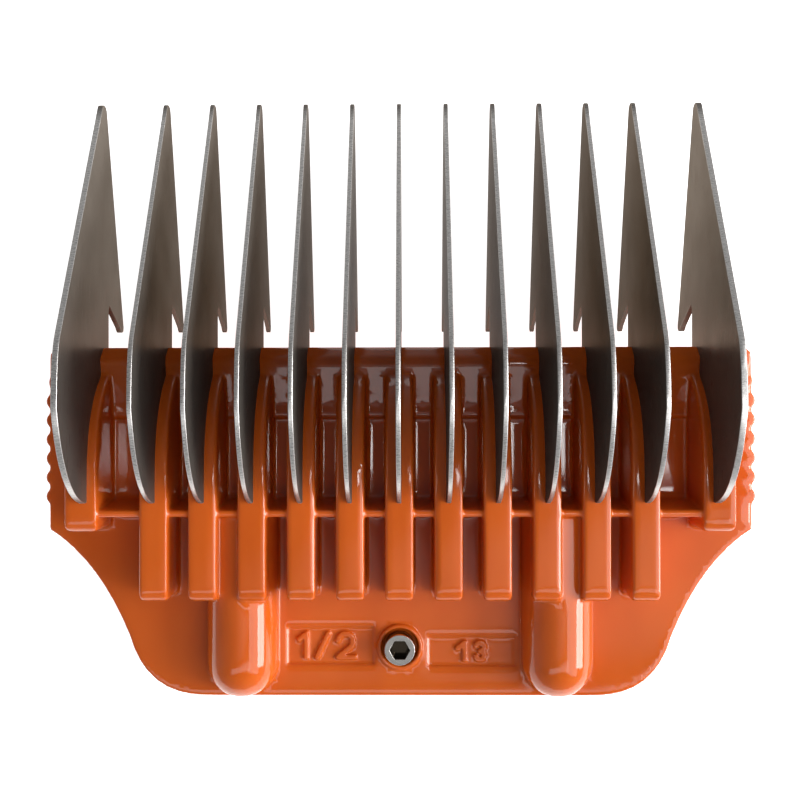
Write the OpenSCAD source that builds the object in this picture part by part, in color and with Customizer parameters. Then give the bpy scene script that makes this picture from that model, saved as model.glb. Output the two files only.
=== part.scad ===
// Clip-on guard comb with steel teeth for wide detachable clipper blades.
// It lies on its blade side. X runs across the teeth, +Y towards their tips and +Z towards the skin side.
// The origin is under the middle of the outline, on the surface that the comb lies on.

/* [Overall] */
// Width over the ribbed thumb grips
comb_w = 76; // [75.6:0.1:76.4]
// Y of the tooth tips, and of the rear edge with a minus sign
half_len = 31.7; // [31.5:0.05:32.2]

/* [Teeth] */
// Spacing of the eleven inner teeth
tooth_pitch = 5; // [4.9:0.05:5.1]
// Distance of the two outer teeth from the middle
outer_tooth_x = 32; // [31.8:0.05:32.2]
// Thickness of an inner tooth
tooth_t = 0.45; // [0.4:0.05:0.6]
// Thickness of an outer tooth
outer_tooth_t = 0.6; // [0.5:0.05:0.8]
// Height of the skid edge above the resting surface
skid_z = 20; // [19.6:0.1:20.4]

/* [Body] */
// Height of the seat that lies on the blade
seat_z = 5; // [4.8:0.05:5.2]
// Height of the plate's skin side
plate_z = 6.9; // [6.8:0.05:7.2]
// Height of the front lip
lip_z = 8.1; // [7.8:0.1:8.4]
// Height of the ribs at the cross bar
rib_z = 12.2; // [11.8:0.1:12.6]
// Width of a rib
rib_w = 2.9; // [2.6:0.1:3.2]
// Y of the front edge
front_y = 5.6; // [5.4:0.1:5.8]
// Spacing of the ridges on the thumb grips
grip_pitch = 2.04; // [1.9:0.01:2.06]

/* [Latch] */
// Travel of the latch
latch_travel = 3; // [2:0.1:3.2]
// Thickness of the latch's sheet
sheet_t = 0.6; // [0.5:0.05:0.65]
// Distance of the two springs from the middle
spring_x = 16.6; // [16.2:0.1:17]
// Outer diameter of a spring
spring_d = 3.4; // [3:0.1:3.5]
// Wire diameter of a spring
wire_d = 0.45; // [0.35:0.05:0.5]

/* [Hidden] */
$fn = 48;
// Working gap of the sliding parts
gap = 0.15;
// Overshoot of a cut past the face that it opens
past = 1;
half_w = comb_w / 2;
// Ridges of the thumb grips: their radius and number, the first one's place, and how far in it stands
ridge_r = 0.9;
ridge_n = 7;
ridge_y = 1.86;
first_ridge_in = 0.25;
rail_in = 33.2;
rail_out = half_w - 0.4;
// Start of the flank behind the thumb grips
shoulder_y = -13.9;
// Tooth: its tip's radius, rear end and underside of its root, and its rear edge above the rib
tip_r = 0.75;
root_y = -12.9;
root_z = 6.6;
neck_y = -10.5;
flow_hole_d = 1.6;
// Hook of a tooth, and front end of the notch behind it
hook_y = 7.7;
notch_y = 10.3;
// Upper pockets between the ribs: their floor, and the slope down to it from the lip
pocket_z = 6.5;
lip_rear_y = 1.6;
lip_fall = 0.65;
slope_end_y = -2;
bar_y = -12;
rib_front_y = 2.6;
rib_end_y = -20.7;
rib_corner_r = 0.6;
// Short outer tabs
tab_x = 32.4;
tab_end_y = -13.6;
tab_w = 3.3;
// Latch recess: its ceiling and the room around the latch, and the latch lying under it
recess_z = seat_z + 0.8;
side_room = 0.3;
end_room = 0.4;
latch_z = recess_z - 0.1 - sheet_t;
latch_half_w = 19;
arm_w = 4.8;
arm_y = -14.6;
push_tab_w = 2.8;
cross_y = -23.6;
latch_rear_y = -31.2;
tongue_w = 9;
tongue_y = -20;
lug_in = 5;
lug_w = 8;
lug_z = 0.6;
thumb_w = 24;
thumb_z = 1.8;
tab_top_z = 9;
// Fastener on the centre line, a socket cap screw
screw_y = -26.4;
screw_d = 2;
screw_end_z = 2.8;
head_d = 3.2;
head_z = 6.4;
head_h = 2;
socket_d = 2.2;
socket_depth = 1.4;
collar_z = 7.25;
collar_d = 4.9;
collar_bore = 3.9;
sleeve_d = 3.4;
washer_d = 7;
washer_t = 0.4;
nut_af = 4;
nut_t = 1.6;
// Spring barrels
barrel_r = 3.7;
barrel_z = 7.6;
channel_r = spring_d / 2 + 0.25;
channel_rear_y = -29.9;
spring_front_y = arm_y - sheet_t;
spring_len = spring_front_y - channel_rear_y;
spring_turns = 9;
// Number plaques: their depth, and the height and stroke width of the inch and the metric numerals
plaque_depth = 0.3;
inch_h = 2.5;
metric_h = 1.8;
stroke_w = 0.55;

INNER = [for (i = [-5 : 5]) i];

// Points of a curve from a to c that leaves and arrives pointing at b
function bend(a, b, c, n) =
    [for (i = [0 : n]) let (t = i / n) (1 - t) * (1 - t) * a + 2 * t * (1 - t) * b + t * t * c];

// Place of tooth number n, counted from 1 at the left
function tooth_x(n) =
    n == 1 ? -outer_tooth_x : n == 13 ? outer_tooth_x : (n - 7) * tooth_pitch;

// ---------- Teeth ----------

// Side view of a tooth, drawn as (Y, Z): skid edge, root, notch and hook, and round tip
function tooth_outline() = concat(
    bend([6, skid_z - 0.95], [4.3, skid_z - 0.1], [-1, skid_z - 0.05], 8),
    bend([-1, skid_z - 0.05], [-9.2, skid_z - 2], [neck_y, rib_z + 0.4], 10),
    [[neck_y, rib_z - 1.2], [root_y, rib_z - 1.6], [root_y, root_z], [front_y - 1, root_z],
     [front_y - 0.2, seat_z + 0.2], [notch_y - 0.6, seat_z + 0.2], [notch_y, seat_z - 0.1]],
    bend([hook_y + 0.5, 1.3], [hook_y, 0.9], [hook_y, 0.6], 3),
    bend([hook_y, 0.5], [hook_y, 0], [hook_y + 0.6, 0], 3),
    [for (a = [-76 : 23.5 : 65]) [half_len - tip_r + tip_r * cos(a), 6.5 + tip_r * sin(a)]]);

module tooth_face() {
    difference() {
        polygon(tooth_outline());
        // Holes that the moulding flows through, which lock the tooth in its rib
        for (y = [root_y + 1.5, -7.5]) translate([y, root_z + 1.9]) circle(d = flow_hole_d);
    }
}

// A flat shape drawn as (Y, Z) becomes a plate across X, thick t and centred on x
module upright(x, t) {
    translate([x - t / 2, 0, 0]) rotate([90, 0, 90]) linear_extrude(t) children();
}

module tooth(n) {
    t = n == 1 || n == 13 ? outer_tooth_t : tooth_t;
    color([0.62, 0.6, 0.58]) upright(tooth_x(n), t) tooth_face();
}

// ---------- Body ----------

function half_outline() = concat(
    [[0, front_y], [half_w - 1.1, front_y], [rail_out, front_y - 0.7], [rail_out, shoulder_y]],
    bend([rail_out, shoulder_y], [32.3, -17.2], [29, -25.3], 8),
    bend([29, -25.3], [27.2, -half_len], [20.8, -half_len], 8),
    [[0, -half_len]]);

module both_sides() {
    children();
    mirror([1, 0, 0]) children();
}

module plate() {
    both_sides() translate([0, 0, seat_z]) linear_extrude(plate_z - seat_z) polygon(half_outline());
}

// Side rail under the edge of the plate, with the ridges of the thumb grip; the first ridge is a lower one
module grip_rail() {
    rail_l = front_y - 0.7 - shoulder_y;
    translate([rail_in, shoulder_y, 0]) cube([rail_out - rail_in, rail_l, plate_z]);
    for (i = [0 : ridge_n - 1])
        translate([half_w - ridge_r - (i == 0 ? first_ridge_in : 0), ridge_y - i * grip_pitch, 0])
            cylinder(r = ridge_r, h = plate_z);
}

// The lip along the front edge, sloping down at the front and into the upper pockets
module front_lip() {
    upright(0, 2 * rail_in)
        polygon([[front_y, seat_z], [front_y, plate_z], [front_y - 1.3, lip_z],
                 [lip_rear_y, lip_z - lip_fall], [slope_end_y, pocket_z], [slope_end_y, seat_z]]);
}

// Rib seen from above: a strip with round corners at its rear end
function rib_plan(w, end_y) =
    let (x = w / 2 - rib_corner_r, y = end_y + rib_corner_r) concat(
    [[w / 2, front_y], [-w / 2, front_y]],
    [for (a = [180 : 18 : 270]) [rib_corner_r * cos(a) - x, y + rib_corner_r * sin(a)]],
    [for (a = [270 : 18 : 360]) [rib_corner_r * cos(a) + x, y + rib_corner_r * sin(a)]]);

module rib(x, w, end_y) {
    base_z = seat_z + 1;
    intersection() {
        upright(x, w)
            polygon(concat([[rib_front_y, base_z], [rib_front_y, lip_z - 0.4]],
                bend([rib_front_y - 0.4, lip_z], [-1.2, rib_z], [-8.4, rib_z - 0.1], 8),
                bend([end_y + 1.2, rib_z - 0.1], [end_y, rib_z - 0.2], [end_y, rib_z - 1.6], 4),
                [[end_y, base_z]]));
        translate([x, 0, base_z]) linear_extrude(rib_z) polygon(rib_plan(w, end_y));
    }
}

module cross_bar() {
    upright(0, 2 * rail_in)
        polygon([[bar_y + 1.5, pocket_z - 0.5], [bar_y + 0.65, rib_z - 0.4], [bar_y, rib_z - 0.4],
                 [bar_y - 0.3, pocket_z - 0.5]]);
}

// Barrel with a domed end, cut off at the seat
module barrel() {
    dome_y = barrel_r - half_len + 0.3;
    difference() {
        translate([spring_x, dome_y, barrel_z]) {
            rotate([-90, 0, 0]) cylinder(r = barrel_r, h = bar_y - dome_y);
            sphere(r = barrel_r);
        }
        translate([spring_x - barrel_r, -half_len, seat_z - 2]) cube([2 * barrel_r, half_len, 2]);
    }
}

// Round channel of the spring, open towards the blade side so that the spring goes in
module spring_channel() {
    channel_l = arm_y + end_room - channel_rear_y;
    translate([spring_x, channel_rear_y, barrel_z]) {
        rotate([-90, 0, 0]) cylinder(r = channel_r, h = channel_l);
        translate([-channel_r, 0, seat_z - past - barrel_z])
            cube([2 * channel_r, channel_l, barrel_z - seat_z + past]);
    }
}

module latch_recess() {
    wide = 2 * side_room;
    translate([0, 0, seat_z - past]) linear_extrude(recess_z - seat_z + past) {
        translate([-latch_half_w - side_room, -half_len - past])
            square([2 * latch_half_w + wide, cross_y + side_room + half_len + past]);
        translate([-tongue_w / 2 - side_room, cross_y])
            square([tongue_w + wide, tongue_y + side_room - cross_y]);
        both_sides() translate([spring_x - arm_w / 2 - side_room, cross_y])
            square([arm_w + wide, arm_y + end_room - cross_y]);
    }
}

// A straight stroke of a numeral, from a to b, with square ends
module stroke(a, b) {
    run = b - a;
    translate(a) rotate(atan2(run[1], run[0]))
        translate([-stroke_w / 2, -stroke_w / 2]) square([norm(run) + stroke_w, stroke_w]);
}

// A round stroke of a numeral: the ring's part inside a wedge from angle a0 to a1
module ring_stroke(centre, r, a0, a1) {
    translate(centre) intersection() {
        difference() {
            circle(r = r + stroke_w / 2);
            circle(r = r - stroke_w / 2);
        }
        polygon(concat([[0, 0]],
            [for (i = [0 : 6]) let (a = a0 + (a1 - a0) * i / 6) 3 * r * [cos(a), sin(a)]]));
    }
}

// Each numeral stands on Y = 0, and h is its height between the middles of its strokes
module numeral_1(h) {
    flag = 0.3 * h;
    stroke([0, 0], [0, h]);
    stroke([0, h], [-flag, h - flag]);
}

module numeral_2(h) {
    r = 0.32 * h;
    ring_stroke([0, h - r], r, -45, 175);
    stroke([r * cos(45), h - r - r * sin(45)], [-r, 0]);
    stroke([-r, 0], [r, 0]);
}

module numeral_3(h) {
    r = h / 4;
    ring_stroke([0, h - r], r, -90, 160);
    ring_stroke([0, r], r, -160, 90);
}

// Frame recess with the numerals left standing in it
module plaque_recess(centre, size) {
    difference() {
        translate(centre - size / 2) square(size);
        translate(centre) children();
    }
}

module plaques() {
    translate([0, 0, plate_z - plaque_depth]) linear_extrude(plaque_depth + past) {
        plaque_recess([-7.4, -26.3], [9.2, 4]) translate([0, -inch_h / 2]) {
            translate([-2.6, 0]) numeral_1(inch_h);
            stroke([-1.45, 0], [-0.25, inch_h]);
            translate([1.6, 0]) numeral_2(inch_h);
        }
        plaque_recess([7.7, -26.9], [9.3, 3.2]) translate([0, -metric_h / 2]) {
            translate([-0.8, 0]) numeral_1(metric_h);
            translate([0.85, 0]) numeral_3(metric_h);
        }
    }
}

module body() {
    color([0.85, 0.4, 0.16]) difference() {
        union() {
            plate();
            both_sides() grip_rail();
            front_lip();
            for (i = INNER) rib(i * tooth_pitch, rib_w, rib_end_y);
            both_sides() rib(tab_x, tab_w, tab_end_y);
            cross_bar();
            both_sides() barrel();
            translate([0, screw_y, plate_z - 0.1]) cylinder(d = collar_d, h = collar_z - plate_z + 0.1);
        }
        // Upper pockets are sunk a little below the plate's face
        for (i = [-6 : 5]) {
            left = i == -6 ? -tab_x + tab_w / 2 : i * tooth_pitch + rib_w / 2;
            right = i == 5 ? tab_x - tab_w / 2 : (i + 1) * tooth_pitch - rib_w / 2;
            translate([left, bar_y + 1.6, pocket_z]) cube([right - left, slope_end_y - bar_y - 1.6, 0.5]);
        }
        latch_recess();
        both_sides() spring_channel();
        translate([0, screw_y, head_z]) cylinder(d = collar_bore, h = collar_z);
        translate([0, screw_y, seat_z]) cylinder(d = screw_d + 0.2, h = collar_z);
        plaques();
        for (n = [1 : 13]) upright(tooth_x(n), n == 1 || n == 13 ? outer_tooth_t : tooth_t) tooth_face();
    }
}

// ---------- Latch ----------

module latch_sheet() {
    difference() {
        union() {
            translate([-latch_half_w, latch_rear_y]) square([2 * latch_half_w, cross_y - latch_rear_y]);
            translate([-tongue_w / 2, cross_y]) square([tongue_w, tongue_y - cross_y]);
            both_sides() translate([spring_x - arm_w / 2, cross_y]) square([arm_w, arm_y - cross_y]);
        }
        // Slot that runs along the sleeve
        slot_r = sleeve_d / 2 + gap;
        translate([0, screw_y]) circle(r = slot_r);
        translate([-slot_r, screw_y]) square([2 * slot_r, latch_travel]);
        translate([0, screw_y + latch_travel]) circle(r = slot_r);
    }
}

module latch_slider() {
    color([0.75, 0.76, 0.78]) {
        translate([0, 0, latch_z]) linear_extrude(sheet_t) latch_sheet();
        both_sides() {
            // Lug that grips the blade's rear edge
            translate([lug_in, cross_y - sheet_t, lug_z]) cube([lug_w, sheet_t, latch_z - lug_z]);
            // Tab that pushes on the spring
            translate([spring_x - push_tab_w / 2, arm_y - sheet_t, latch_z + sheet_t])
                cube([push_tab_w, sheet_t, tab_top_z - latch_z - sheet_t]);
        }
        // Lip for the thumb
        translate([-thumb_w / 2, latch_rear_y, thumb_z]) cube([thumb_w, sheet_t, latch_z - thumb_z]);
    }
}

// ---------- Springs ----------

// Wire swept along a helix whose end turns lie flat
module coil(length, turns, d, wire) {
    sides = 8;
    steps = 14 * turns;
    r = (d - wire) / 2;
    rise = length - wire;
    // Height along the spring: the first and last turns close up
    function climb(s) = wire / 2 + rise * (s - sin(360 * s) / (2 * PI) * 0.5);
    rings = [for (i = [0 : steps]) let (s = i / steps, a = 360 * turns * s)
        for (j = [0 : sides - 1]) let (b = 360 * j / sides)
            [(r + wire / 2 * cos(b)) * cos(a), (r + wire / 2 * cos(b)) * sin(a),
             climb(s) + wire / 2 * sin(b)]];
    walls = [for (i = [0 : steps - 1]) for (j = [0 : sides - 1]) let (k = (j + 1) % sides)
        [i * sides + j, i * sides + k, (i + 1) * sides + k, (i + 1) * sides + j]];
    ends = [[for (j = [sides - 1 : -1 : 0]) j], [for (j = [0 : sides - 1]) steps * sides + j]];
    polyhedron(points = rings, faces = concat(walls, ends));
}

module spring(x) {
    color([0.6, 0.61, 0.63]) translate([x, channel_rear_y, barrel_z]) rotate([-90, 0, 0])
        coil(spring_len, spring_turns, spring_d, wire_d);
}

// ---------- Fastener on the centre line ----------

module latch_screw() {
    color([0.7, 0.7, 0.72]) translate([0, screw_y, 0]) difference() {
        union() {
            translate([0, 0, head_z]) cylinder(d = head_d, h = head_h);
            translate([0, 0, screw_end_z]) cylinder(d = screw_d, h = head_z - screw_end_z);
        }
        translate([0, 0, head_z + head_h - socket_depth]) cylinder(d = socket_d, h = head_h, $fn = 6);
    }
}

module ring(d, bore, z, h) {
    translate([0, screw_y, z]) difference() {
        cylinder(d = d, h = h);
        translate([0, 0, -past]) cylinder(d = bore, h = h + 2 * past);
    }
}

module spacer_sleeve() {
    color([0.8, 0.7, 0.4]) ring(sleeve_d, screw_d + 0.1, seat_z, recess_z - seat_z);
}

module latch_washer() {
    color([0.72, 0.72, 0.74]) ring(washer_d, screw_d + 0.1, seat_z - washer_t, washer_t);
}

module latch_nut() {
    nut_z = seat_z - washer_t - nut_t;
    color([0.68, 0.68, 0.7]) translate([0, screw_y, nut_z]) difference() {
        cylinder(d = nut_af / cos(30), h = nut_t, $fn = 6);
        translate([0, 0, -past]) cylinder(d = screw_d, h = nut_t + 2 * past);
    }
}

body();
tooth(1);  // tooth_01
tooth(2);  // tooth_02
tooth(3);  // tooth_03
tooth(4);  // tooth_04
tooth(5);  // tooth_05
tooth(6);  // tooth_06
tooth(7);  // tooth_07
tooth(8);  // tooth_08
tooth(9);  // tooth_09
tooth(10);  // tooth_10
tooth(11);  // tooth_11
tooth(12);  // tooth_12
tooth(13);  // tooth_13
latch_slider();
spring(-spring_x);  // left_spring
spring(spring_x);  // right_spring
latch_screw();
spacer_sleeve();
latch_washer();
latch_nut();
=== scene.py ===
"""The looks of a clipper guard comb: a moulded orange body with steel teeth, on a pale floor."""

import math

import bpy
import numpy as np
import openvdb as vdb
from mathutils import Euler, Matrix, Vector


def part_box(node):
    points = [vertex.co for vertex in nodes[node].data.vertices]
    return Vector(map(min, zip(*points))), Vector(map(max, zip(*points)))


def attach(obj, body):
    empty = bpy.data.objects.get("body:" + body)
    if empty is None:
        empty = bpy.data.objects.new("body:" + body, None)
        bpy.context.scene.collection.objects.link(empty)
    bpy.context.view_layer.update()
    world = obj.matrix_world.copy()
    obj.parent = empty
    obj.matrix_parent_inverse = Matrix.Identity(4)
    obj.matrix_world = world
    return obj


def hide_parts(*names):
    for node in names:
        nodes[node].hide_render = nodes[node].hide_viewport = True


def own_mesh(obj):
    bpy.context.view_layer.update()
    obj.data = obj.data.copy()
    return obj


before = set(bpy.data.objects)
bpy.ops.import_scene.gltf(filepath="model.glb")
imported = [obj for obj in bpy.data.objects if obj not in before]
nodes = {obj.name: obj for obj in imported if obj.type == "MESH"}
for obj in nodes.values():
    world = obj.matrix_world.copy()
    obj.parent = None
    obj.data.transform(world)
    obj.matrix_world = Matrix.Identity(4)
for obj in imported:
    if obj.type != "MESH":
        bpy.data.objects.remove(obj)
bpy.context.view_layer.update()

MM = 0.001
TEETH = sorted(name for name in nodes if name.startswith("tooth_"))


def box_mm(node):
    """A CAD node's lowest and highest corners, in millimetres."""
    low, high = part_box(node)
    return np.array(low) / MM, np.array(high) / MM


# ---------------------------------------------------------------- camera

LENS = 40.83
SENSOR = 36
# Above the comb's skin side, looking straight down at it but for a fraction of a degree
CAMERA_PLACE = Vector((0.95, -0.66, 103.86)) * MM
CAMERA_TURN = (0.338, 0.525, -0.1)


def add_camera():
    data = bpy.data.cameras.new("camera")
    data.lens = LENS
    data.sensor_width = SENSOR
    data.clip_start = 5 * MM
    camera = bpy.data.objects.new("camera", data)
    camera.location = CAMERA_PLACE
    camera.rotation_euler = Euler([math.radians(a) for a in CAMERA_TURN], "XYZ")
    bpy.context.scene.collection.objects.link(camera)
    bpy.context.scene.camera = camera


# ---------------------------------------------------------------- material tools

# Nearly all of a noise texture's values lie between these two
NOISE_LOW = 0.3
NOISE_HIGH = 0.7


class NodeTree:
    """A node tree, written down as calls."""

    def __init__(self, tree):
        self.tree = tree

    def add(self, kind, inputs=None, **settings):
        """A new node with its settings made and its inputs set or linked."""
        node = self.tree.nodes.new(kind)
        for key, value in settings.items():
            setattr(node, key, value)
        for key, value in (inputs or {}).items():
            self.set(node, key, value)
        return node

    def set(self, node, key, value):
        """Links an input to a socket, or gives it a number or colour."""
        if isinstance(value, bpy.types.NodeSocket):
            self.tree.links.new(value, node.inputs[key])
        else:
            node.inputs[key].default_value = value

    def remap(self, value, low, high, new_low, new_high):
        """The value as it moves from new_low, at low or less, to new_high, at high or more."""
        node = self.add("ShaderNodeMapRange", {"Value": value, "From Min": low, "From Max": high,
                                               "To Min": new_low, "To Max": new_high})
        return node.outputs["Result"]

    def compute(self, operation, a, b=0.0):
        return self.add("ShaderNodeMath", {0: a, 1: b}, operation=operation).outputs[0]


class Shader(NodeTree):
    """A material with a Principled surface."""

    def __init__(self, name):
        self.material = bpy.data.materials.new(name)
        self.material.use_nodes = True
        super().__init__(self.material.node_tree)
        self.surface = self.tree.nodes["Principled BSDF"]
        self.place = self.add("ShaderNodeTexCoord").outputs["Object"]

    def principled(self, **values):
        """Sets the surface's inputs, whose names are written with _ for each space."""
        for key, value in values.items():
            self.set(self.surface, key.replace("_", " "), value)

    def axis(self, name):
        """The place along X, Y or Z, in metres."""
        return self.add("ShaderNodeSeparateXYZ", {"Vector": self.place}).outputs[name]

    def noise(self, size_mm, detail=3.0, roughness=0.5):
        """Noise whose grains measure about size_mm, an (x, y, z) in millimetres."""
        scale = [1 / (size * MM) for size in size_mm]
        mapping = self.add("ShaderNodeMapping", {"Vector": self.place, "Scale": scale})
        node = self.add("ShaderNodeTexNoise", {"Vector": mapping.outputs["Vector"], "Scale": 1.0,
                                               "Detail": detail, "Roughness": roughness})
        return node.outputs["Fac"]

    def vary(self, noise, low=0, high=1):
        """The noise, stretched so that it runs from low to high."""
        return self.remap(noise, NOISE_LOW, NOISE_HIGH, low, high)

    def mix(self, factor, a, b):
        """Colour a where the factor is 0 and b where it is 1."""
        return self.add("ShaderNodeMix", {0: factor, 6: a, 7: b}, data_type="RGBA").outputs[2]

    def mix_numbers(self, factor, a, b):
        """Number a where the factor is 0 and b where it is 1."""
        return self.add("ShaderNodeMix", {0: factor, 2: a, 3: b}, data_type="FLOAT").outputs[0]

    def bump(self, height, depth_mm, after=None):
        """The surface's direction under a relief, added to the one given as after."""
        node = self.add("ShaderNodeBump", {"Height": height, "Strength": 1.0, "Distance": depth_mm * MM})
        if after is not None:
            self.set(node, "Normal", after)
        return node.outputs["Normal"]


def grey(tone, warm=0.0):
    """A grey of this brightness, with more red and less blue as warm grows."""
    return (tone * (1 + warm), tone, tone * (1 - warm), 1)


# ---------------------------------------------------------------- materials


def orange_plastic():
    """Glossy moulded plastic with faint flow marks and slight orange peel. Light sinks in a little."""
    shader = Shader("orange_plastic")
    flow = shader.noise((6, 14, 6), 2.0)
    speck = shader.noise((0.35, 0.35, 0.35))
    deep = (0.56, 0.094, 0.008, 1)
    clear = (0.64, 0.116, 0.012, 1)
    peel = shader.bump(shader.noise((2.2, 2.2, 2.2), 1.0), 0.001)
    shader.principled(Base_Color=shader.mix(shader.vary(flow), deep, clear),
                      Roughness=shader.vary(speck, 0.05, 0.1), Normal=shader.bump(speck, 0.0005, peel),
                      IOR=1.5, Subsurface_Weight=0.15, Subsurface_Radius=(0.9, 0.25, 0.06),
                      Subsurface_Scale=0.0014)
    return shader.material


# How far a tooth's surface turns to the side, as a sine, where its edge becomes its face
FACE_TURN = (0.75, 0.98)
# Heights, in millimetres, between which the teeth's edges turn from painted shade, below, to bright metal
EDGE_SHADE_Z = (7, 8)


def tooth_steel():
    """Stamped stainless sheet: rolled faces, darker at a glancing view, and edges with grinding marks,
    painted dark near and below the plate's height as shade.
    """
    shader = Shader("tooth_steel")
    normal = shader.add("ShaderNodeTexCoord").outputs["Normal"]
    turn = shader.add("ShaderNodeSeparateXYZ", {"Vector": normal}).outputs["X"]
    face_part = shader.remap(shader.compute("ABSOLUTE", turn), *FACE_TURN, 0, 1)
    grain = shader.noise((1, 2.5, 0.05), 3.0, 0.6)
    cloud = shader.noise((5, 5, 3), 2.0)
    marks = shader.noise((0.5, 0.03, 0.03), 2.0, 0.6)

    face = shader.mix(shader.vary(cloud), grey(0.265, 0.11), grey(0.3, 0.11))
    ground = shader.mix(shader.vary(marks), grey(0.5, 0.05), grey(0.72, 0.03))
    # Painted shade: the edges darken to a warm near-black towards the plate, where shade falls between the
    # ribs
    edge_unshaded_part = shader.remap(shader.axis("Z"), *[z * MM for z in EDGE_SHADE_Z], 0, 1)
    edge = shader.mix(edge_unshaded_part, grey(0.12, 0.15), ground)
    rough = shader.mix_numbers(face_part, shader.vary(marks, 0.22, 0.4), shader.vary(grain, 0.26, 0.38))
    shader.principled(Base_Color=shader.mix(face_part, edge, face), Metallic=0.85, Roughness=rough,
                      Specular_IOR_Level=0.0, Specular_Tint=(0.14, 0.12, 0.11, 1),
                      Normal=shader.bump(marks, 0.003, shader.bump(grain, 0.0008)))
    return shader.material


# Painted shade: the near-black put on the screw below its top, standing in for the shadow in its socket
SOCKET_SHADE = grey(0.05, 0.3)
# The height over which the painted shade gives way to plain metal
SHADE_FADE_MM = 0.5


def rolled_steel(name, tone, warm, roughness, grain_mm, shade_below_mm=None):
    """Sheet, wire or turned metal with a fine directional grain.

    tone and warm give its grey. Where a height is given for it, it is painted dark below that height:
    painted shade that stands in for the shadow in the screw's socket.
    """
    shader = Shader(name)
    grain = shader.noise(grain_mm, 3.0, 0.6)
    cloud = shader.noise((3, 3, 3), 2.0)
    colour = shader.mix(shader.vary(cloud), grey(tone * 0.9, warm), grey(tone, warm))
    # Painted shade: darker below the given height, for the shadow in the screw's socket
    if shade_below_mm is not None:
        unshaded_part = shader.remap(shader.axis("Z"), (shade_below_mm - SHADE_FADE_MM) * MM,
                                  shade_below_mm * MM, 0, 1)
        colour = shader.mix(unshaded_part, SOCKET_SHADE, colour)
    shader.principled(Base_Color=colour, Metallic=1.0,
                      Roughness=shader.vary(grain, roughness * 0.75, roughness * 1.25),
                      Normal=shader.bump(grain, 0.0015))
    return shader.material


def floor_paper():
    """Pale paper that glows a little, as over a light table, so that shadows stay faint."""
    shader = Shader("floor_paper")
    tone = shader.vary(shader.noise((9, 9, 9), 2.0), 0.78, 0.8)
    shade = shader.add("ShaderNodeCombineColor", {"Red": tone, "Green": tone, "Blue": tone})
    shader.principled(Base_Color=shade.outputs[0], Roughness=0.7, Emission_Color=(1, 0.99, 0.98, 1),
                      Emission_Strength=1.0)
    return shader.material


# ---------------------------------------------------------------- distance fields
# A surface is held as a grid of signed distances to it, in millimetres, negative inside.

VOXEL = 0.12
# How far a surface may be moved: enough to close the slots that the teeth are moulded into
SLOT_FILL = 0.36
# How much flat parts of the mesh are thinned out
THINNING = 0.1


def surface_grid(points, triangles, quads):
    """The distances to a closed mesh, known as far from it as it may be moved."""
    return vdb.FloatGrid.createLevelSetFromPolygons(
        points, triangles=triangles if len(triangles) else None, quads=quads if len(quads) else None,
        transform=vdb.createLinearTransform(VOXEL), halfWidth=SLOT_FILL / VOXEL + 2)


def moved(grid, distance):
    """The grid of the surface that lies distance outside this one."""
    return surface_grid(*grid.convertToPolygons(distance, 0))


def cad_grid(node):
    mesh = nodes[node].data
    mesh.calc_loop_triangles()
    points = np.zeros(len(mesh.vertices) * 3, np.float32)
    mesh.vertices.foreach_get("co", points)
    corners = np.zeros(len(mesh.loop_triangles) * 3, np.int32)
    mesh.loop_triangles.foreach_get("vertices", corners)
    return surface_grid(points.reshape(-1, 3) / MM, corners.reshape(-1, 3).astype(np.uint32), [])


def span(low, high):
    """The first voxel and the number of voxels of a box given in millimetres."""
    start = np.floor(np.array(low) / VOXEL).astype(int)
    return start, np.ceil(np.array(high) / VOXEL).astype(int) - start + 1


def peek(grid, low, high):
    """The grid's distances in a box."""
    start, count = span(low, high)
    values = np.zeros(count, np.float32)
    grid.copyToArray(values, ijk=tuple(int(i) for i in start))
    return values


def carve(grid, low, high, rule):
    """Puts rule(distances, x, y, z) in place of the grid's distances in a box."""
    start, count = span(low, high)
    x, y, z = np.meshgrid(*[(start[k] + np.arange(count[k])) * VOXEL for k in range(3)], indexing="ij")
    values = rule(peek(grid, low, high), x, y, z)
    grid.copyFromArray(values.astype(np.float32), ijk=tuple(int(i) for i in start))


def join(a, b):
    return np.minimum(a, b)


def common(a, b):
    return np.maximum(a, b)


def cut(a, b):
    """Shape a without the part of it that lies in shape b."""
    return np.maximum(a, -b)


def slab(x, y, z, low, high, radius=0.0):
    """Distance to a box with rounded edges."""
    middle = (np.array(low) + np.array(high)) / 2
    half = (np.array(high) - np.array(low)) / 2 - radius
    past = [np.abs(v - middle[k]) - half[k] for k, v in enumerate((x, y, z))]
    outside = np.sqrt(sum(np.maximum(v, 0) ** 2 for v in past))
    return outside + np.minimum(np.maximum.reduce(past), 0) - radius


def line(x, y, a, b):
    """Distance to the straight line from a to b."""
    run = np.array(b) - np.array(a)
    along = np.clip(((x - a[0]) * run[0] + (y - a[1]) * run[1]) / (run @ run), 0, 1)
    return np.hypot(x - a[0] - along * run[0], y - a[1] - along * run[1])


def arc(x, y, centre, radius, start, end, steps=14):
    """Distance to an arc, followed in short straight steps. Angles are in degrees."""
    angles = np.radians(np.linspace(start, end, steps))
    spots = [(centre[0] + radius * math.cos(a), centre[1] + radius * math.sin(a)) for a in angles]
    return np.minimum.reduce([line(x, y, p, q) for p, q in zip(spots, spots[1:])])


# ---------------------------------------------------------------- numerals
# Each gives the distance to the middle of its strokes. A numeral stands on y = 0 and is h high.


def numeral_one(x, y, h):
    return join(line(x, y, (0, 0), (0, h)), line(x, y, (0, h), (-0.75, h - 0.6)))


def numeral_two(x, y, h, r):
    bowl = arc(x, y, (0, h - r), r, 175, -45)
    slant = line(x, y, (0.71 * r, h - 1.71 * r), (-r, 0))
    return join(join(bowl, slant), line(x, y, (-r, 0), (r + 0.15, 0)))


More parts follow.
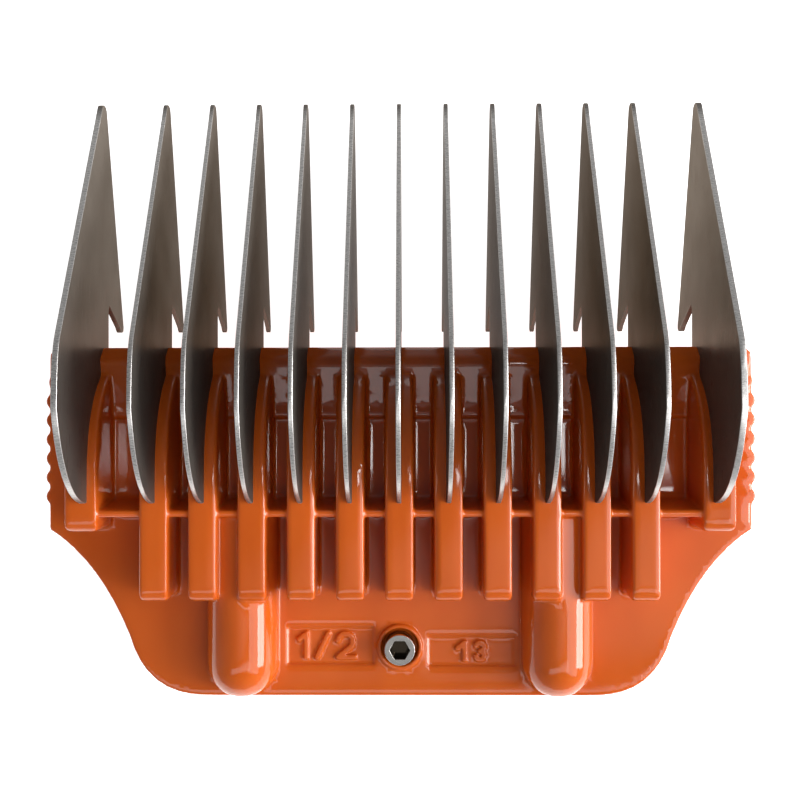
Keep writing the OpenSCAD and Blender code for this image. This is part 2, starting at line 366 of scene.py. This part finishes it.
def numeral_three(x, y, h):
    r = h / 4
    return join(arc(x, y, (0, h - r), r, 160, -90), arc(x, y, (0, r), r, 90, -160))


def numerals_half(x, y):
    """1/2, with the middle of its plaque at (0, 0)."""
    h = 2.5
    base = -h / 2
    one = numeral_one(x + 2.6, y - base, h)
    bar = line(x, y, (-1.45, base), (-0.25, base + h))
    return join(join(one, bar), numeral_two(x - 1.6, y - base, h, 0.8))


def numerals_thirteen(x, y):
    """13, with the middle of its plaque at (0, 0)."""
    h = 1.8
    base = -h / 2
    return join(numeral_one(x + 0.8, y - base, h), numeral_three(x - 0.85, y - base, h))


# ---------------------------------------------------------------- the moulded body
# Sizes are in millimetres, and follow the CAD body.

# The radius of the moulding's edges
ROUND = 0.2
PLATE_Z = 6.9
# The part of the plate that holds the plaques and the screw
PLATE_AREA = ((-13, -30.9, 5.9), (13, -22.5, 8.5))

# Each plaque's middle, its size and its numerals
PLAQUES = (((-7.4, -26.3), (9.2, 4), numerals_half), ((7.7, -26.9), (9.3, 3.2), numerals_thirteen))
PLAQUE_DEPTH = 0.3
PLAQUE_ROUND = 0.12
STROKE = 0.55
# How far the numerals' tops stay below the plate
NUMERAL_DROP = 0.04

# The ring round the screw: the middle of its wall, half the wall, its top and its foot
COLLAR_R = 2.2
COLLAR_HALF_WALL = 0.25
COLLAR_Z = 7.25
COLLAR_FOOT_Z = 6.5
BORE_R = 1.95
BORE_FLOOR_Z = 6.4

# The plugs that fill the plaques and the bore until the edges are rounded
PLUG_MARGIN = 0.1
PLUG_FLOOR_Z = 6.2
BORE_PLUG_R = 2.6
BORE_PLUG_Z = 6.6
COLLAR_CLEAR_R = 2.7

# Where the teeth's slots are closed: this far past a tooth's faces, and between these places
SLOT_MARGIN = 0.2
SLOT_Y = (-13.3, 6.2)
SLOT_Z = (6.2, 12.8)


def from_screw(x, y):
    """Distance to the screw's axis."""
    low, high = box_mm("latch_screw")
    screw_x, screw_y = (low[:2] + high[:2]) / 2
    return np.hypot(x - screw_x, y - screw_y)


def without_details(body, x, y, z):
    """The plate with its small details filled in, because the rounding would wear them away."""
    for (cx, cy), (w, h), _ in PLAQUES:
        low = (cx - w / 2 - PLUG_MARGIN, cy - h / 2 - PLUG_MARGIN, PLUG_FLOOR_Z)
        high = (cx + w / 2 + PLUG_MARGIN, cy + h / 2 + PLUG_MARGIN, PLATE_Z)
        body = join(body, slab(x, y, z, low, high))
    away = from_screw(x, y)
    body = join(body, common(away - BORE_PLUG_R, np.abs(z - BORE_PLUG_Z) - (PLATE_Z - BORE_PLUG_Z)))
    return cut(body, common(away - COLLAR_CLEAR_R, PLATE_Z - z))


def with_details(body, x, y, z):
    """The plate with its plaques, their raised numerals, and the collar and bore of the screw."""
    for (cx, cy), (w, h), numerals in PLAQUES:
        low = (cx - w / 2, cy - h / 2, PLATE_Z - PLAQUE_DEPTH)
        # Open at the top, so its rounded upper edges lie well above the plate
        high = (cx + w / 2, cy + h / 2, PLATE_Z + 2)
        hollow = slab(x, y, z, low, high, PLAQUE_ROUND)
        raised = common(numerals(x - cx, y - cy) - STROKE / 2, z - PLATE_Z + NUMERAL_DROP)
        body = cut(body, cut(hollow, raised))
    away = from_screw(x, y)
    above_wall = np.maximum(z - COLLAR_Z + COLLAR_HALF_WALL, 0)
    collar = np.hypot(away - COLLAR_R, above_wall) - COLLAR_HALF_WALL
    body = join(body, common(collar, COLLAR_FOOT_Z - z))
    return cut(body, common(away - BORE_R, BORE_FLOOR_Z - z))


def body_mesh():
    """The CAD body with moulded edges: every outer edge and corner is rounded."""
    grid = cad_grid("body")
    carve(grid, *PLATE_AREA, without_details)
    closed = moved(moved(grid, SLOT_FILL), -SLOT_FILL)
    for tooth in TEETH:
        low, high = box_mm(tooth)
        slot = ((low[0] - SLOT_MARGIN, SLOT_Y[0], SLOT_Z[0]), (high[0] + SLOT_MARGIN, SLOT_Y[1], SLOT_Z[1]))
        carve(grid, *slot, lambda body, x, y, z: peek(closed, *slot))
    for distance in (-ROUND, ROUND):
        grid = moved(grid, distance)
    carve(grid, *PLATE_AREA, with_details)
    return grid.convertToPolygons(0.0, THINNING)


def add_mesh(name, points, faces):
    mesh = bpy.data.meshes.new(name)
    mesh.from_pydata(points, [], faces)
    mesh.validate()
    mesh.shade_smooth()
    piece = bpy.data.objects.new(name, mesh)
    bpy.context.scene.collection.objects.link(piece)
    return piece


def add_body(material):
    points, triangles, quads = body_mesh()
    # OpenVDB lists a face's corners the other way round from Blender
    faces = triangles[:, ::-1].tolist() + quads[:, ::-1].tolist()
    piece = add_mesh("moulded_body", (points * MM).tolist(), faces)
    piece.data.materials.append(material)
    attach(piece, "comb")
    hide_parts("body")


# ---------------------------------------------------------------- steel pieces

SPRING_TURNS = 9
SPRING_WIRE = 0.45


def finish_node(name, material, bevel_mm):
    """A CAD node keeps its shape and gets softened edges and its material."""
    piece = nodes[name]
    piece.data.materials.clear()
    piece.data.materials.append(material)
    weld = piece.modifiers.new("weld", "WELD")
    weld.merge_threshold = 1e-6
    flat = piece.modifiers.new("flat", "DECIMATE")
    flat.decimate_type = "DISSOLVE"
    flat.angle_limit = math.radians(0.5)
    bevel = piece.modifiers.new("bevel", "BEVEL")
    bevel.width = bevel_mm * MM
    bevel.segments = 2
    bevel.limit_method = "ANGLE"
    bevel.angle_limit = math.radians(40)
    piece.modifiers.new("normals", "WEIGHTED_NORMAL")


def spring_tube(length, turns, coil_d, wire_d, sides=12, steps_per_turn=28):
    """Points and faces of a wire wound along +Y from 0, closer at its ends, in millimetres."""
    steps = turns * steps_per_turn
    radius = (coil_d - wire_d) / 2
    along = np.arange(steps + 1) / steps
    turn = 2 * math.pi * turns * along
    rise = wire_d / 2 + (length - wire_d) * (along - np.sin(2 * math.pi * along) / (4 * math.pi))
    around = 2 * math.pi * np.arange(sides) / sides
    out = radius + wire_d / 2 * np.cos(around)[None, :]
    x = out * np.cos(turn)[:, None]
    z = -out * np.sin(turn)[:, None]
    y = rise[:, None] + wire_d / 2 * np.sin(around)[None, :]
    points = np.stack([x, y, z], 2).reshape(-1, 3)
    faces = []
    for i in range(steps):
        for j in range(sides):
            k = (j + 1) % sides
            faces.append((i * sides + j, i * sides + k, (i + 1) * sides + k, (i + 1) * sides + j))
    faces.append(tuple(range(sides - 1, -1, -1)))
    faces.append(tuple(steps * sides + j for j in range(sides)))
    return points, faces


def add_springs(material):
    """Each spring is wound from its rear end over its CAD node's length, and rides with the comb."""
    for name in ("left_spring", "right_spring"):
        low, high = box_mm(name)
        length = high[1] - low[1]
        points, faces = spring_tube(length, SPRING_TURNS, high[0] - low[0], SPRING_WIRE)
        middle = (low + high) / 2
        points = (points + np.array([middle[0], low[1], middle[2]])) * MM
        piece = add_mesh(name + "_wire", points.tolist(), faces)
        piece.data.materials.append(material)
        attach(piece, "comb")
        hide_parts(name)
        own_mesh(piece)


def finish_teeth():
    steel = tooth_steel()
    for tooth in TEETH:
        finish_node(tooth, steel, 0.07)


def finish_latch():
    """The latch and the fasteners that hold it, each with the size of its softened edges."""
    latch = rolled_steel("latch_steel", tone=0.42, warm=0.02, roughness=0.32, grain_mm=(4, 0.08, 0.5))
    finish_node("latch_slider", latch, 0.08)
    screw_top = box_mm("latch_screw")[1][2]
    # Painted shade from 0.3 mm below the head's top down, for the shadow in its socket and below its head
    screw = rolled_steel("screw_steel", tone=0.6, warm=0.06, roughness=0.12, grain_mm=(0.3, 0.3, 0.3),
                         shade_below_mm=screw_top - 0.3)
    finish_node("latch_screw", screw, 0.2)
    plated = rolled_steel("fastener_steel", tone=0.7, warm=0.01, roughness=0.16, grain_mm=(0.3, 0.3, 0.3))
    finish_node("latch_washer", plated, 0.08)
    finish_node("latch_nut", plated, 0.1)
    brass = rolled_steel("sleeve_brass", tone=0.7, warm=0.25, roughness=0.25, grain_mm=(0.3, 0.3, 0.05))
    finish_node("spacer_sleeve", brass, 0.05)


# ---------------------------------------------------------------- studio

FLOOR_HALF = 1.5
# The floor lies this far below the comb, so that the two don't share a plane
FLOOR_GAP = 0.02 * MM


def add_floor():
    corners = [(-FLOOR_HALF, -FLOOR_HALF, 0), (FLOOR_HALF, -FLOOR_HALF, 0),
               (FLOOR_HALF, FLOOR_HALF, 0), (-FLOOR_HALF, FLOOR_HALF, 0)]
    piece = add_mesh("floor", corners, [(0, 1, 2, 3)])
    piece.location.z = -FLOOR_GAP
    piece.data.materials.append(floor_paper())


def add_light(name, place, size, power, aim=(0, 0, 0.01)):
    data = bpy.data.lights.new(name, "AREA")
    data.shape = "RECTANGLE"
    data.size, data.size_y = size
    data.energy = power
    light = bpy.data.objects.new(name, data)
    light.location = place
    light.rotation_euler = (Vector(aim) - Vector(place)).to_track_quat("-Z", "Y").to_euler()
    bpy.context.scene.collection.objects.link(light)


# Brightness of the sky at the horizon and overhead, and the sine of the angle above the horizon from
# which it is as overhead
HORIZON = 0.5
ZENITH = 0.13
HIGH = 0.8
# A strip of ceiling behind the comb's rear edge: where it starts and ends, how far it slants towards
# the right, its brightness at the left and at the right, and how far out it reaches these. Here and
# below, places are sines of the tilt away from straight up.
STRIP_SPAN = (0.15, 0.285)
STRIP_SLANT = 0.12
STRIP_LIGHT = (0.1, 0.75)
STRIP_REACH = 0.25
# A brighter band lower down: where it starts and ends, and how far it reaches to each side and fades
BAND_SPAN = (0.34, 0.5)
BAND_REACH = 0.4
BAND_FADE = 0.1
BAND_LIGHT = 2
# Half the width of the strip's and the band's blurred edges
BLUR = 0.015


def add_sky():
    """Soft light from all round, brighter near the horizon than overhead."""
    world = bpy.data.worlds.new("studio")
    world.use_nodes = True
    sky = NodeTree(world.node_tree)
    direction = sky.add("ShaderNodeTexCoord").outputs["Generated"]
    split = sky.add("ShaderNodeSeparateXYZ", {"Vector": direction})
    right, ahead, up = (split.outputs[name] for name in "XYZ")
    behind = sky.compute("SUBTRACT", sky.compute("MULTIPLY", right, STRIP_SLANT), ahead)

    def between(start, end):
        """1 between two places behind the comb, and 0 before and after them."""
        return sky.compute("MULTIPLY", sky.remap(behind, start - BLUR, start + BLUR, 0, 1),
                           sky.remap(behind, end - BLUR, end + BLUR, 1, 0))

    strip_light = sky.remap(right, -STRIP_REACH, STRIP_REACH, *STRIP_LIGHT)
    strip = sky.compute("MULTIPLY", between(*STRIP_SPAN), strip_light)
    aside = sky.compute("ABSOLUTE", right)
    band_light = sky.remap(aside, BAND_REACH, BAND_REACH + BAND_FADE, BAND_LIGHT, 0)
    band = sky.compute("MULTIPLY", between(*BAND_SPAN), band_light)
    plain = sky.remap(up, 0, HIGH, HORIZON, ZENITH)
    background = sky.tree.nodes["Background"]
    sky.set(background, "Color", (0.96, 0.98, 1, 1))
    sky.set(background, "Strength", sky.compute("ADD", sky.compute("ADD", strip, band), plain))
    bpy.context.scene.world = world


def add_studio():
    """A floor, a sky, two broad lights from the right, and a small one near the comb that faces down."""
    add_floor()
    add_sky()
    add_light("key", place=(0.75, -0.08, 0.29), size=(0.5, 0.36), power=6.6)
    add_light("broad", place=(0.55, -0.1, 0.55), size=(0.8, 0.5), power=3.2)
    add_light("window", place=(0.085, -0.018, 0.3), size=(0.08, 0.022), power=0.07,
              aim=(0.085, -0.018, 0))
    bpy.context.scene.view_settings.view_transform = "Standard"


# ---------------------------------------------------------------- the whole

add_camera()
add_body(orange_plastic())
finish_teeth()
finish_latch()
add_springs(rolled_steel("spring_steel", tone=0.66, warm=0.0, roughness=0.25, grain_mm=(0.2, 0.2, 0.2)))
add_studio()
